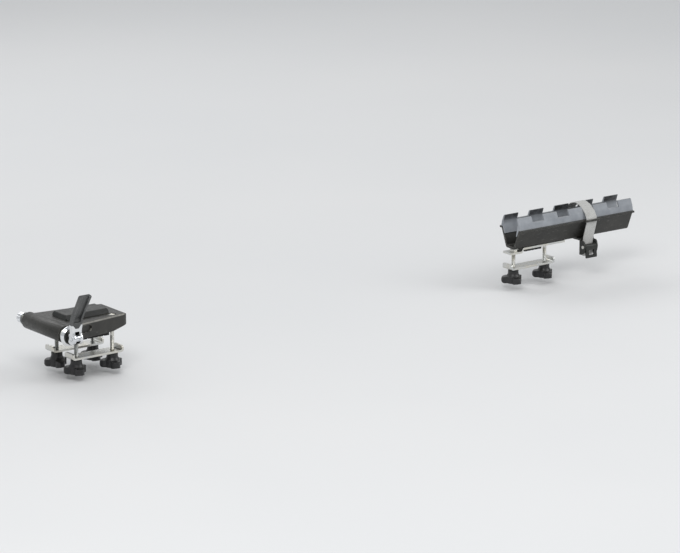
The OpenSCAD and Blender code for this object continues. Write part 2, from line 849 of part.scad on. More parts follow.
// Places of the three clamp plates and of their knobs
module near_row() { translate([0, -bolt_row / 2, 0]) children(); }
module far_row() { translate([0, bolt_row / 2, 0]) children(); }
module front_bolt() { translate([-bolt_x, 0, 0]) children(); }
module rear_bolt() { translate([bolt_x, 0, 0]) children(); }

module near_clamp_plate() { color(zinc) near_row() clamp_plate(); }
module near_clamp_washers() { color(zinc) near_row() clamp_washers(); }
module near_front_knob() { near_row() front_bolt() knob(); }
module near_front_insert() { near_row() front_bolt() knob_insert(); }
module near_rear_knob() { near_row() rear_bolt() knob(); }
module near_rear_insert() { near_row() rear_bolt() knob_insert(); }
module far_clamp_plate() { color(zinc) far_row() clamp_plate(); }
module far_clamp_washers() { color(zinc) far_row() clamp_washers(); }
module far_front_knob() { far_row() front_bolt() knob(); }
module far_front_insert() { far_row() front_bolt() knob_insert(); }
module far_rear_knob() { far_row() rear_bolt() knob(); }
module far_rear_insert() { far_row() rear_bolt() knob_insert(); }
module rear_clamp_plate() { color(zinc) at_rear_bar() clamp_plate(); }
module rear_clamp_washers() { color(zinc) at_rear_bar() clamp_washers(); }
module tray_front_knob() { at_rear_bar() front_bolt() knob(); }
module tray_front_insert() { at_rear_bar() front_bolt() knob_insert(); }
module tray_rear_knob() { at_rear_bar() rear_bolt() knob(); }
module tray_rear_insert() { at_rear_bar() rear_bolt() knob_insert(); }

// Wheel tray: V-shaped channel with a lip along each top edge
module tray_section() {
    lip = wall_out(tray_top) + tray_lip_w;
    lip_under = tray_top - tray_lip_h;
    polygon(rounded(
        [[-lip, tray_top], [-lip, lip_under], [-wall_out(lip_under), lip_under],
         [-tray_floor_w / 2, tray_z], [tray_floor_w / 2, tray_z],
         [wall_out(lip_under), lip_under], [lip, lip_under], [lip, tray_top],
         [wall_in(tray_top), tray_top], [wall_in(floor_top), floor_top],
         [-wall_in(floor_top), floor_top], [-wall_in(tray_top), tray_top]],
        [1, 1, 1, 3, 3, 1, 1, 1, 0, 2, 2, 0]));
}

module wheel_tray() {
    color(black_nylon)
    at_rear_bar() difference() {
        union() {
            cross_prism(-tray_front, tray_rear) tray_section();
            strap_keeper();
        }
        post(bolt_x, 0, tray_z - over, floor_top + over, bolt_d + 2 * hole_gap);
        at_tray_rivets() post(0, 0, tray_z - over, floor_top + over, rivet_d + 2 * hole_gap);
        at_buckle_rivets() post(0, 0, tray_z - over, floor_top + over, rivet_d + 2 * hole_gap);
        at_strap_rivet() translate([0, 0, -tray_wall - over])
            cylinder(h = tray_wall + 2 * over, d = rivet_d + 2 * hole_gap);
    }
}

// Loop on the near lip that keeps the strap against the wall
module strap_keeper() {
    inside = lip_y + strap_t / 2 + soft_gap;
    outside = inside + keeper_t;
    root = wall_out(tray_top) + tray_lip_w;
    slot = strap_w / 2 + 1;
    half = slot + keeper_t;
    translate([strap_x, 0, lip_z]) linear_extrude(height = tray_lip_h) difference() {
        polygon(rounded(
            [[-half, over - root], [-half, -outside], [half, -outside], [half, over - root]],
            [0, 2, 2, 0]));
        polygon([[-slot, -root], [-slot, -inside], [slot, -inside], [slot, -root]]);
    }
}

// Rivet places: bracket to tray, buckle foot to tray, and strap end to the far wall
module at_tray_rivets() {
    for (x = tray_rivets_x) translate([x, 0, 0]) children();
}

module at_buckle_rivets() {
    for (x = [-buckle_rivet_x, buckle_rivet_x]) translate([strap_x + x, 0, 0]) children();
}

strap_rivet_z = tray_z + 8;
module at_strap_rivet() {
    translate([strap_x, wall_out(strap_rivet_z), strap_rivet_z])
        rotate([-90 - wall_angle, 0, 0]) children();
}

// Rivet along z with a low domed head at each end of its grip
module rivet(z0, z1) {
    head = rivet_head_d / 2;
    dome = rounded([[0, -rivet_head_h], [head * 0.9, -rivet_head_h], [head, 0], [0, 0]], [0, 1, 0, 0]);
    translate([0, 0, z0]) rotate_extrude() polygon(dome);
    translate([0, 0, z0]) cylinder(h = z1 - z0, d = rivet_d);
    translate([0, 0, z1]) mirror([0, 0, 1]) rotate_extrude() polygon(dome);
}

module tray_rivets() {
    color(zinc) at_rear_bar() at_tray_rivets() rivet(rear_pad_t, floor_top);
}

module buckle_rivets() {
    color(zinc) at_rear_bar() at_buckle_rivets() rivet(foot_bottom, floor_top);
}

module strap_rivet() {
    color(zinc) at_rear_bar() at_strap_rivet() rivet(-tray_wall, strap_t + 2 * soft_gap);
}

// Finger strip on the far side: root inside the wall, leaning band, row of fingers
module finger_strip() {
    root_z = tray_top - finger_root;
    root_y = wall_in(root_z) - seat_gap;
    edge_y = wall_in(tray_top) - seat_gap;
    top_y = wall_out(tray_top) - band_lean;
    tip_y = top_y - finger_lean;
    color(grey_rubber)
    at_rear_bar() union() {
        cross_prism(-tray_front, tray_rear) polygon([[root_y, root_z], [edge_y, tray_top + seat_gap],
            [wall_out(tray_top), tray_top + seat_gap], [top_y, band_top], [top_y - finger_t, band_top],
            [root_y - finger_t * 0.6, root_z]]);
        for (i = [0:finger_count - 1]) {
            start = -tray_front + i * finger_pitch;
            cross_prism(start, start + finger_len) polygon(rounded(
                [[top_y, band_top - over], [top_y, band_top], [tip_y, band_top + finger_h],
                 [tip_y - finger_t * 0.7, band_top + finger_h], [top_y - finger_t, band_top],
                 [top_y - finger_t, band_top - over]],
                [0, 0, 1, 1, 0, 0]));
        }
    }
}

module far_finger_strip() { finger_strip(); }
module near_finger_strip() { mirror([0, 1, 0]) finger_strip(); }

// Bracket: steel strap under the floor, its front end stepped down to clear a bolt head
module tray_bracket() {
    low = rear_pad_t - bracket_step;
    color(zinc)
    at_rear_bar() difference() {
        side_prism(-bracket_w / 2, bracket_w / 2) polygon(rounded(
            [[bracket_front, low], [-step_x - 3, low], [-step_x, rear_pad_t], [bracket_rear, rear_pad_t],
             [bracket_rear, tray_z], [-step_x - 1, tray_z], [-step_x - 4, low + bracket_t],
             [bracket_front, low + bracket_t]],
            [0, 1, 1, 0, 0, 1, 1, 0]));
        for (x = [-bolt_x, bolt_x]) post(x, 0, low - over, tray_z + over, bolt_d + 2 * hole_gap);
        at_tray_rivets() post(0, 0, rear_pad_t - over, tray_z + over, rivet_d + 2 * hole_gap);
    }
}

module rear_bar_pad() {
    color(black_rubber) at_rear_bar() ribbed_pad(bar_w, bracket_w, rear_pad_t);
}

module rear_bolts() {
    front_seat = rear_pad_t - bracket_step + bracket_t;
    color(zinc)
    at_rear_bar() {
        front_bolt() clamp_bolt(front_seat);
        rear_bolt() clamp_bolt(floor_top);
    }
}

// Wheel strap: from the far wall over the rim's place and down into the buckle
strap_off = (strap_t / 2 + soft_gap) / cos(wall_angle);
lip_y = wall_out(tray_top) + tray_lip_w + strap_t / 2 + 0.6;
lip_z = tray_top - tray_lip_h;
band_y = wall_out(tray_top) - band_lean;
over_band = band_top + strap_t / 2 + soft_gap;
strap_path = smooth_path([
    [wall_out(tray_z + 3) + strap_off, tray_z + 3],
    [wall_out(tray_z + 14) + strap_off, tray_z + 14],
    [lip_y, lip_z - 2],
    [lip_y, tray_top + 1.5],
    [band_y + 1.5, over_band + 0.6],
    [band_y * 0.55, over_band + strap_rise * 0.72],
    [0, over_band + strap_rise],
    [-band_y * 0.55, over_band + strap_rise * 0.72],
    [-band_y - 1.5, over_band + 0.6],
    [-lip_y, tray_top + 1.5],
    [-lip_y, lip_z - 2],
    [-strap_y, foot_bottom],
    [-strap_y, buckle_bottom - strap_tail]], 2.2);

module wheel_strap() {
    color(webbing)
    at_rear_bar() difference() {
        cross_prism(strap_x - strap_w / 2, strap_x + strap_w / 2) polygon(ribbon(strap_path, strap_t));
        at_strap_rivet() cylinder(h = 2 * strap_t, d = rivet_d + 2 * hole_gap);
    }
}

// Buckle frame: foot under the tray's floor, back wall and two cheeks
module buckle_frame() {
    front = pin_y + drum_r;
    back = buckle_back - buckle_t;
    color(black_plastic)
    at_rear_bar() translate([strap_x, 0, 0]) difference() {
        union() {
            box([-cheek_out, -buckle_back, foot_bottom], [cheek_out, tray_floor_w / 2 - 2, tray_z]);
            box([-cheek_out, -buckle_back, buckle_bottom], [cheek_out, -back, tray_z]);
            for (x = [-cheek_out, cheek_in])
                cross_prism(x, x + buckle_t) polygon(rounded(
                    [[-back, foot_bottom], [-front + 3, foot_bottom], [-front, pin_z],
                     [-front + 2, buckle_bottom + 4], [-buckle_back - 3, buckle_bottom],
                     [-back, buckle_bottom]],
                    [0, 3, 3, 3, 3, 0]));
        }
        translate([-2 * cheek_out, -pin_y, pin_z])
            rotate([0, 90, 0]) cylinder(h = 4 * cheek_out, d = buckle_pin_d + 2 * fit);
        for (x = [-buckle_rivet_x, buckle_rivet_x])
            post(x, 0, foot_bottom - over, tray_z + over, rivet_d + 2 * hole_gap);
    }
}

module buckle_pin() {
    head = 1;
    half = cheek_out + seat_gap;
    color(zinc)
    at_rear_bar() translate([strap_x, -pin_y, pin_z]) rotate([0, 90, 0]) {
        translate([0, 0, -half]) cylinder(h = 2 * half, d = buckle_pin_d);
        for (z = [-half - head, half]) translate([0, 0, z]) cylinder(h = head, d = buckle_pin_d + 2);
    }
}

// Buckle lever: grooved drum that grips the strap, and a thumb plate with a window
module buckle_lever() {
    tip = pin_z - buckle_lever_len;
    outer = pin_y + drum_r;
    grooves = 5;
    color(black_plastic)
    at_rear_bar() translate([strap_x, 0, 0]) difference() {
        cross_prism(-lever_half, lever_half) {
            translate([-pin_y, pin_z]) circle(r = drum_r);
            polygon(rounded(
                [[-outer, pin_z], [-outer - 1.5, tip], [-outer - 1.5 + buckle_lever_t, tip],
                 [-outer + buckle_lever_t, pin_z]],
                [0, 1, 1, 0]));
        }
        translate([-2 * lever_half, -pin_y, pin_z])
            rotate([0, 90, 0]) cylinder(h = 4 * lever_half, d = buckle_pin_d + 2 * fit);
        for (i = [0:grooves - 1])
            translate([-2 * lever_half, -pin_y, pin_z])
                rotate([-50 + 25 * i, 0, 0])
                    translate([0, drum_r + 0.3, 0])
                        rotate([0, 90, 0]) cylinder(h = 4 * lever_half, r = 0.6);
        box([-lever_half / 2, -outer - 2 * buckle_lever_t, tip + 4],
            [lever_half / 2, -pin_y, pin_z - drum_r - 0.8]);
    }
}

fork_block();
block_cover();
front_bar_pad();
axle_sleeve();
axle_washers();
front_bolts();
skewer_rod();
cam_pivot();
skewer_springs();
skewer_nut();
cam_seat();
cam_washer();
cam_lever();
lever_grip();
near_clamp_plate();
near_clamp_washers();
near_front_knob();
near_front_insert();
near_rear_knob();
near_rear_insert();
far_clamp_plate();
far_clamp_washers();
far_front_knob();
far_front_insert();
far_rear_knob();
far_rear_insert();
wheel_tray();
near_finger_strip();
far_finger_strip();
tray_bracket();
rear_bar_pad();
tray_rivets();
rear_bolts();
rear_clamp_plate();
rear_clamp_washers();
tray_front_knob();
tray_front_insert();
tray_rear_knob();
tray_rear_insert();
wheel_strap();
strap_rivet();
buckle_frame();
buckle_rivets();
buckle_pin();
buckle_lever();
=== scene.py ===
# Looks of the roof bar bike carrier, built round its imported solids. Sizes are in metres.
import json
import math
from collections import namedtuple

import bmesh
import bpy
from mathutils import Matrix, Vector


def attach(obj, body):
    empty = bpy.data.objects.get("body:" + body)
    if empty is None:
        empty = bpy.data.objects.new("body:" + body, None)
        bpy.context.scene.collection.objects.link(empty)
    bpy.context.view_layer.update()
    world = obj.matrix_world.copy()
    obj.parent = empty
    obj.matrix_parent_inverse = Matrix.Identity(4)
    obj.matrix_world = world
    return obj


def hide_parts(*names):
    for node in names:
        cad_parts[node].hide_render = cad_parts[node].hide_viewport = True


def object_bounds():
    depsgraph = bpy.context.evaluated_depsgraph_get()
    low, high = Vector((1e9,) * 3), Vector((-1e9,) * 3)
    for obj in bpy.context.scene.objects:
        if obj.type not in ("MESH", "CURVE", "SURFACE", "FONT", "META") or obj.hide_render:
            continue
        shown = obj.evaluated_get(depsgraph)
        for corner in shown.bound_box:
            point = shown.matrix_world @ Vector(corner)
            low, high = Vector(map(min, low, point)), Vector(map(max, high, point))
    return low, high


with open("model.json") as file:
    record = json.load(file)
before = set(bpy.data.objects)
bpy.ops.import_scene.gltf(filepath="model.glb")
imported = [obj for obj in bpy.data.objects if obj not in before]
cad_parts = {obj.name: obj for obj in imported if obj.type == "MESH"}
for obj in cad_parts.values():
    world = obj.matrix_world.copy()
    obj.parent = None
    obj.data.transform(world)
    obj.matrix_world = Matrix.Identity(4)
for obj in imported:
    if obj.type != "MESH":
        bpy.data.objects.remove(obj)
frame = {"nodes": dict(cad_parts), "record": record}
nodes = frame["nodes"]
solid_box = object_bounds()
scene = bpy.context.scene
scene.view_settings.view_transform = "Standard"

# Camera: the photograph's direction, closer in than the photograph's own frame
VIEW_AZIMUTH = math.radians(-36.5)
VIEW_ELEVATION = math.radians(14.7)
VIEW_DISTANCE = 6.0
VIEW_CLIP = (0.05, 60.0)
PHOTO_FOCAL_PIXELS = 2335.0
PHOTO_WIDTH_PIXELS = 680.0
CLOSER = 1.76
SENSOR_WIDTH = 36.0
AIM = Vector((0.445, 0.0, 0.012))


def aimed(obj, place, target):
    """Puts a camera or lamp at a place, pointing at a target."""
    obj.location = place
    toward = Vector(target) - Vector(place)
    obj.rotation_euler = toward.to_track_quat("-Z", "Y").to_euler()
    scene.collection.objects.link(obj)
    return obj


def make_camera():
    data = bpy.data.cameras.new("camera")
    data.sensor_width = SENSOR_WIDTH
    data.lens = SENSOR_WIDTH * CLOSER * PHOTO_FOCAL_PIXELS / PHOTO_WIDTH_PIXELS
    data.clip_start, data.clip_end = VIEW_CLIP
    level = math.cos(VIEW_ELEVATION)
    back = Vector((math.sin(VIEW_AZIMUTH) * level, -math.cos(VIEW_AZIMUTH) * level,
                   math.sin(VIEW_ELEVATION)))
    camera = bpy.data.objects.new("camera", data)
    scene.camera = aimed(camera, AIM + back * VIEW_DISTANCE, AIM)


# How sharp a turn counts as an edge, and how far up a face looks before dust lies on it
EDGE_SAMPLES = 4
EDGE_FLAT, EDGE_SHARP = 0.99, 0.80
DUST_SLOPE, DUST_LEVEL = 0.35, 0.95


class Shader:
    """A material with one principled shader and a few helpers that add nodes to it."""

    def __init__(self, name):
        self.material = bpy.data.materials.new(name)
        self.material.use_nodes = True
        self.tree = self.material.node_tree
        self.bsdf = self.tree.nodes["Principled BSDF"]
        coordinates = self.add("TexCoord")
        self.place = coordinates.outputs["Object"]
        self.facing = coordinates.outputs["Normal"]

    def add(self, kind, **settings):
        node = self.tree.nodes.new("ShaderNode" + kind)
        for key, value in settings.items():
            setattr(node, key, value)
        return node

    def set(self, node, socket, value):
        """Links an output to a socket, or writes a plain value on it."""
        if isinstance(value, bpy.types.NodeSocket):
            self.tree.links.new(value, node.inputs[socket])
        else:
            node.inputs[socket].default_value = value

    def split(self, vector):
        """The X, Y and Z outputs of a vector."""
        node = self.add("SeparateXYZ")
        self.set(node, 0, vector)
        return node.outputs

    def stretched(self, scale):
        mapping = self.add("Mapping")
        self.set(mapping, "Vector", self.place)
        self.set(mapping, "Scale", scale)
        return mapping.outputs["Vector"]

    def noise(self, scale, detail, roughness=0.5, stretch=None):
        node = self.add("TexNoise")
        self.set(node, "Vector", self.stretched(stretch) if stretch else self.place)
        self.set(node, "Scale", scale)
        self.set(node, "Detail", detail)
        self.set(node, "Roughness", roughness)
        return node.outputs["Fac"]

    def cells(self, scale):
        node = self.add("TexVoronoi")
        self.set(node, "Vector", self.place)
        self.set(node, "Scale", scale)
        return node.outputs["Color"]

    def spread(self, value, low, high, to_low=0.0, to_high=1.0):
        """Maps one span of values to another, and cuts off what lies outside."""
        node = self.add("MapRange")
        for socket, number in zip(("Value", "From Min", "From Max", "To Min", "To Max"),
                                  (value, low, high, to_low, to_high)):
            self.set(node, socket, number)
        return node.outputs["Result"]

    def pattern(self, pattern, to_low=0.0, to_high=1.0, stretch=None):
        """One of the noise patterns below, spread from one value to another."""
        value = self.noise(pattern.scale, pattern.detail, pattern.roughness, stretch)
        return self.spread(value, pattern.low, pattern.high, to_low, to_high)

    def maths(self, operation, a, b):
        node = self.add("Math", operation=operation)
        self.set(node, 0, a)
        self.set(node, 1, b)
        return node.outputs["Value"]

    def times(self, product, *factors):
        for factor in factors:
            product = self.maths("MULTIPLY", product, factor)
        return product

    def mix(self, factor, a, b):
        node = self.add("Mix", data_type="RGBA")
        self.set(node, "Factor", factor)
        self.set(node, 6, a if isinstance(a, bpy.types.NodeSocket) else (*a, 1.0))
        self.set(node, 7, b if isinstance(b, bpy.types.NodeSocket) else (*b, 1.0))
        return node.outputs[2]

    def edges(self, radius):
        """1 close to an edge of the shape and 0 away from it."""
        bevel = self.add("Bevel", samples=EDGE_SAMPLES)
        self.set(bevel, "Radius", radius)
        dot = self.add("VectorMath", operation="DOT_PRODUCT")
        self.set(dot, 0, bevel.outputs["Normal"])
        self.set(dot, 1, self.add("NewGeometry").outputs["Normal"])
        return self.spread(dot.outputs["Value"], EDGE_FLAT, EDGE_SHARP)

    def upward(self):
        """1 on faces that look up and 0 on the others."""
        return self.spread(self.split(self.facing)["Z"], DUST_SLOPE, DUST_LEVEL)

    def bump(self, *layers):
        """Stacks height layers, each a value with its depth in metres."""
        normal = None
        for height, depth in layers:
            node = self.add("Bump")
            self.set(node, "Strength", 1.0)
            self.set(node, "Distance", depth)
            self.set(node, "Height", height)
            if normal:
                self.set(node, "Normal", normal)
            normal = node.outputs["Normal"]
        self.set(self.bsdf, "Normal", normal)

    def finish(self, colour, roughness, metallic=0.0, **plain):
        self.set(self.bsdf, "Base Color", colour)
        self.set(self.bsdf, "Roughness", roughness)
        self.set(self.bsdf, "Metallic", metallic)
        for socket, value in plain.items():
            self.set(self.bsdf, socket.replace("_", " "), value)
        return self.material


# Noise patterns: the noise's scale, detail and roughness, and the span of its values that shows
Pattern = namedtuple("Pattern", "scale detail roughness low high")
MOTTLE = Pattern(38.0, 4.0, 0.6, 0.35, 0.68)
SCUFFS = Pattern(160.0, 5.0, 0.65, 0.42, 0.66)
# Patches of the painted highlight and rubbing wear on the block's upper edges
HIGHLIGHT_AND_RUBBING = Pattern(160.0, 5.0, 0.65, 0.30, 0.55)
DUST = Pattern(24.0, 5.0, 0.7, 0.36, 0.74)
SCRATCHES = Pattern(90.0, 2.0, 0.5, 0.66, 0.74)
MOULD_GLOSS = Pattern(210.0, 4.0, 0.6, 0.3, 0.7)
# Patches of painted shade and tyre marks on the inner faces of the finger tips
TYRE_MARKS_AND_SHADE = Pattern(45.0, 5.0, 0.7, 0.25, 0.6)
TARNISH = Pattern(55.0, 4.0, 0.6, 0.38, 0.66)
STAINS = Pattern(85.0, 6.0, 0.7, 0.60, 0.76)
STREAKS = Pattern(260.0, 3.0, 0.6, 0.3, 0.7)
PAINT_SHADES = Pattern(70.0, 3.0, 0.5, 0.35, 0.68)
PAINT_CHIPS = Pattern(300.0, 5.0, 0.7, 0.48, 0.60)
PAINT_GLOSS = Pattern(150.0, 4.0, 0.6, 0.3, 0.7)
YARN = Pattern(5200.0, 2.0, 0.5, 0.36, 0.66)
GRIME = Pattern(70.0, 5.0, 0.7, 0.50, 0.78)
FLOOR_SHADES = Pattern(1.2, 3.0, 0.5, 0.3, 0.7)
FLOOR_GLOSS = Pattern(6.0, 3.0, 0.5, 0.3, 0.7)

# Stretch of the patterns that run one way
SCRATCH_STRETCH = (1.0, 14.0, 6.0)
YARN_STRETCH = (0.35, 1.0, 1.0)

# How much of a pattern shows
DUST_LEAST = 0.05
FINGER_DUST = 0.4
SCRATCH_SHARE = 0.35
FLAKE_SHARE, FLAKE_GAIN = 0.28, 1.18
STAIN_SHARE, STAIN_ROUGHNESS = 0.6, 0.16
GRIME_SHARE = 0.55

# How far the roughness strays from its mean, and other gloss of paint, yarn and floor
MOULD_STRAY = 0.09
METAL_STRAY_DOWN, METAL_STRAY_UP = 0.06, 0.08
PAINT_COAT = 0.15
PAINT_BARE_METAL = (0.3, 0.9, 0.0, 0.8)
YARN_ROUGHNESS = (0.3, 0.7, 0.72, 0.92)
YARN_SHEEN = 0.25
FLOOR_ROUGHNESS = (0.78, 0.9)

# Bump: scale of the fine and the broad unevenness, with depths for rubber, plating, paint and yarn
BUMP_DETAIL = 2.0
MOULD_WAVES, MOULD_WAVE_SHARE = 70.0, 1.5
RUBBER_GRAIN, RUBBER_GRAIN_DEPTH = 2000.0, 0.00006
PLATE_WAVES, PLATE_WAVE_DETAIL, PLATE_WAVE_DEPTH = 120.0, 3.0, 0.00003
STREAK_DEPTH = 0.00002
PAINT_PEEL, PAINT_PEEL_DEPTH = 900.0, 0.00003
PAINT_WAVES, PAINT_WAVE_DEPTH = 120.0, 0.00004
YARN_DEPTH = 0.00008

# Width of the worn edges
MOULD_EDGE = 0.0014
RUBBER_EDGE = 0.0012
PAINT_EDGE = 0.0012

# Painted highlight, mixed with rubbing wear, on the block's upper edges, which run from behind its
# nose to its tail, and are neither level nor upright
NOSE_BACK = (-0.046, -0.040)
FRONT_UNIT_END = (0.30, 0.29)
EDGE_LOWER_TURN = (0.12, 0.40)
EDGE_UPPER_TURN = (0.96, 0.86)
LEAST_HIGHLIGHT_AND_RUBBING = 0.45

# Painted shade and tyre marks darken the fingers between these heights, on the faces that look
# inwards
FINGER_HEIGHTS = (0.040, 0.049)
FINGER_INWARD = (0.0, -0.006)
LEAST_TYRE_MARK_AND_SHADE = 0.35


def weathered(s, dark, light, worn, dust, dusty, edge):
    """Mottled colour, scuffed along its edges, with a little dust on the upper faces."""
    colour = s.mix(s.pattern(MOTTLE), dark, light)
    colour = s.mix(s.times(s.edges(edge), s.pattern(SCUFFS)), colour, worn)
    return s.mix(s.times(s.upward(), s.pattern(DUST, DUST_LEAST, dusty)), colour, dust)


def highlight_and_rubbed_edges(s):
    """Painted highlight mixed with rubbing wear: 1 on the rounded upper edges of the block, in
    patches, and 0 elsewhere.
    """
    up, along = s.split(s.facing)["Z"], s.split(s.place)["X"]
    return s.times(s.spread(up, *EDGE_LOWER_TURN), s.spread(up, *EDGE_UPPER_TURN),
                   s.spread(along, *NOSE_BACK), s.spread(along, *FRONT_UNIT_END),
                   s.pattern(HIGHLIGHT_AND_RUBBING, LEAST_HIGHLIGHT_AND_RUBBING))


def moulded(name, dark, light, worn, dust, rough, grain_depth, grain=2600.0, dusty=0.5,
            shine=0.5, highlight_and_rubbing=False):
    """Moulded plastic or rubber: weathered, scratched and with a fine grain, and where asked a
    painted highlight with rubbing wear on the block's upper edges.
    """
    s = Shader(name)
    colour = weathered(s, dark, light, worn, dust, dusty, MOULD_EDGE)
    if highlight_and_rubbing:
        # Painted highlight mixed with rubbing wear, in the worn colour, along the block's upper
        # edges
        colour = s.mix(highlight_and_rubbed_edges(s), colour, worn)
    scratch = s.times(s.pattern(SCRATCHES, stretch=SCRATCH_STRETCH), SCRATCH_SHARE)
    colour = s.mix(scratch, colour, worn)
    roughness = s.pattern(MOULD_GLOSS, rough - MOULD_STRAY, rough + MOULD_STRAY)
    s.bump((s.noise(grain, BUMP_DETAIL), grain_depth),
           (s.noise(MOULD_WAVES, BUMP_DETAIL), grain_depth * MOULD_WAVE_SHARE))
    return s.finish(colour, roughness, Specular_IOR_Level=shine)


def finger_rubber(name, dark, light, worn, dust, tyre_and_shade, rough):
    """Grey rubber of the finger strips, darkened on the inner faces of the tips by painted shade
    and tyre marks.
    """
    s = Shader(name)
    colour = weathered(s, dark, light, worn, dust, FINGER_DUST, RUBBER_EDGE)
    place, facing = s.split(s.place), s.split(s.facing)
    inner = s.spread(s.times(place["Y"], facing["Y"]), *FINGER_INWARD)
    tips = s.spread(place["Z"], *FINGER_HEIGHTS)
    # Painted shade and tyre marks on the inner faces of the finger tips
    colour = s.mix(s.times(inner, tips, s.pattern(TYRE_MARKS_AND_SHADE, LEAST_TYRE_MARK_AND_SHADE)), colour, tyre_and_shade)
    roughness = s.pattern(MOULD_GLOSS, rough - MOULD_STRAY, rough + MOULD_STRAY)
    s.bump((s.noise(RUBBER_GRAIN, BUMP_DETAIL), RUBBER_GRAIN_DEPTH),
           (s.noise(MOULD_WAVES, BUMP_DETAIL), RUBBER_GRAIN_DEPTH * MOULD_WAVE_SHARE))
    return s.finish(colour, roughness)


def plated(name, base, tint, stain, rough, spangle, brushed):
    """Plated metal: faint crystals in the plating, rubbed streaks, and dull stains."""
    s = Shader(name)
    colour = s.mix(s.pattern(TARNISH), base, tint)
    flake = s.spread(s.cells(spangle), 0.0, 1.0, 0.0, FLAKE_SHARE)
    colour = s.mix(flake, colour, tuple(min(1.0, FLAKE_GAIN * c) for c in base))
    dull = s.pattern(STAINS)
    colour = s.mix(s.times(dull, STAIN_SHARE), colour, stain)
    streak = s.noise(STREAKS.scale, STREAKS.detail, STREAKS.roughness, brushed)
    sheen = s.spread(streak, STREAKS.low, STREAKS.high, rough - METAL_STRAY_DOWN,
                     rough + METAL_STRAY_UP)
    roughness = s.maths("ADD", sheen, s.times(dull, STAIN_ROUGHNESS))
    s.bump((streak, STREAK_DEPTH), (s.noise(PLATE_WAVES, PLATE_WAVE_DETAIL), PLATE_WAVE_DEPTH))
    return s.finish(colour, roughness, metallic=1.0)


def painted(name, dark, light, bare, rough):
    """Painted metal: orange-peel paint, worn to bare grey along its edges."""
    s = Shader(name)
    colour = s.mix(s.pattern(PAINT_SHADES), dark, light)
    worn = s.times(s.edges(PAINT_EDGE), s.pattern(PAINT_CHIPS))
    colour = s.mix(worn, colour, bare)
    roughness = s.pattern(PAINT_GLOSS, rough - METAL_STRAY_DOWN, rough + METAL_STRAY_UP)
    s.bump((s.noise(PAINT_PEEL, BUMP_DETAIL), PAINT_PEEL_DEPTH),
           (s.noise(PAINT_WAVES, BUMP_DETAIL), PAINT_WAVE_DEPTH))
    return s.finish(colour, roughness, s.spread(worn, *PAINT_BARE_METAL), Coat_Weight=PAINT_COAT)


def woven(name, dark, light, soil):
    """Webbing yarn: fine threads, paler on the crowns, a little soiled."""
    s = Shader(name)
    yarn = s.noise(YARN.scale, YARN.detail, YARN.roughness, YARN_STRETCH)
    colour = s.mix(s.spread(yarn, YARN.low, YARN.high), dark, light)
    colour = s.mix(s.pattern(GRIME, 0.0, GRIME_SHARE), colour, soil)
    s.bump((yarn, YARN_DEPTH))
    return s.finish(colour, s.spread(yarn, *YARN_ROUGHNESS), Sheen_Weight=YARN_SHEEN)


def ground(name, colour_a, colour_b):
    """Pale studio floor with a very faint unevenness."""
    s = Shader(name)
    colour = s.mix(s.pattern(FLOOR_SHADES), colour_a, colour_b)
    return s.finish(colour, s.pattern(FLOOR_GLOSS, *FLOOR_ROUGHNESS))


def make_materials():
    """One material for each slot of the record."""
    dust = (0.085, 0.080, 0.070)
    return {
        # This worn colour is pale, so that it paints a highlight as well as wear on the fork
        # block's upper edges
        "black_nylon": moulded(
            "black_nylon", dark=(0.016, 0.0155, 0.0135), light=(0.030, 0.029, 0.025),
            worn=(0.235, 0.228, 0.205), dust=dust, rough=0.42, grain_depth=0.00006,
            dusty=0.2, highlight_and_rubbing=True),
        "black_plastic": moulded(
            "black_plastic", dark=(0.012, 0.013, 0.012), light=(0.023, 0.025, 0.022),
            worn=(0.065, 0.066, 0.060), dust=dust, rough=0.42, grain_depth=0.00004,
            dusty=0.2, shine=0.42),
        "knob_plastic": moulded(
            "knob_plastic", dark=(0.008, 0.008, 0.009), light=(0.017, 0.017, 0.018),
            worn=(0.060, 0.060, 0.060), dust=(0.05, 0.048, 0.044), rough=0.36,
            grain_depth=0.00003),
        "black_rubber": moulded(
            "black_rubber", dark=(0.010, 0.010, 0.010), light=(0.020, 0.020, 0.019),
            worn=(0.040, 0.039, 0.037), dust=dust, rough=0.78, grain_depth=0.00008,
            grain=1800.0),
        "grey_rubber": finger_rubber(
            "grey_rubber", dark=(0.228, 0.244, 0.268), light=(0.322, 0.341, 0.368),
            worn=(0.430, 0.430, 0.430), dust=(0.40, 0.39, 0.36),
            tyre_and_shade=(0.018, 0.018, 0.018), rough=0.67),
        "lever_grey": painted(
            "lever_grey", dark=(0.045, 0.047, 0.047), light=(0.075, 0.077, 0.077),
            bare=(0.34, 0.34, 0.34), rough=0.36),
        "zinc_steel": plated(
            "zinc_steel", base=(0.62, 0.63, 0.62), tint=(0.66, 0.63, 0.55),
            stain=(0.34, 0.32, 0.29), rough=0.30, spangle=420.0, brushed=(1.0, 1.0, 9.0)),
        "chrome": plated(
            "chrome", base=(0.78, 0.79, 0.80), tint=(0.72, 0.74, 0.77),
            stain=(0.52, 0.51, 0.50), rough=0.13, spangle=60.0, brushed=(1.0, 6.0, 1.0)),
        "brass": plated(
            "brass", base=(0.72, 0.52, 0.23), tint=(0.66, 0.45, 0.18),
            stain=(0.38, 0.25, 0.10), rough=0.28, spangle=300.0, brushed=(1.0, 1.0, 8.0)),
        "webbing": woven(
            "webbing", dark=(0.36, 0.36, 0.35), light=(0.62, 0.62, 0.60),
            soil=(0.22, 0.21, 0.19)),
    }


def add_piece(name, points, faces, body, slot, materials, *replaced):
    """Makes a smooth mesh piece that rides on a body and stands for the solids named."""
    mesh = bpy.data.meshes.new(name)
    mesh.from_pydata(points, [], faces)
    mesh.validate()
    for face in mesh.polygons:
        face.use_smooth = True
    piece = bpy.data.objects.new(name, mesh)
    scene.collection.objects.link(piece)
    mesh.materials.append(materials[slot])
    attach(piece, body)
    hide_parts(*replaced)
    return piece


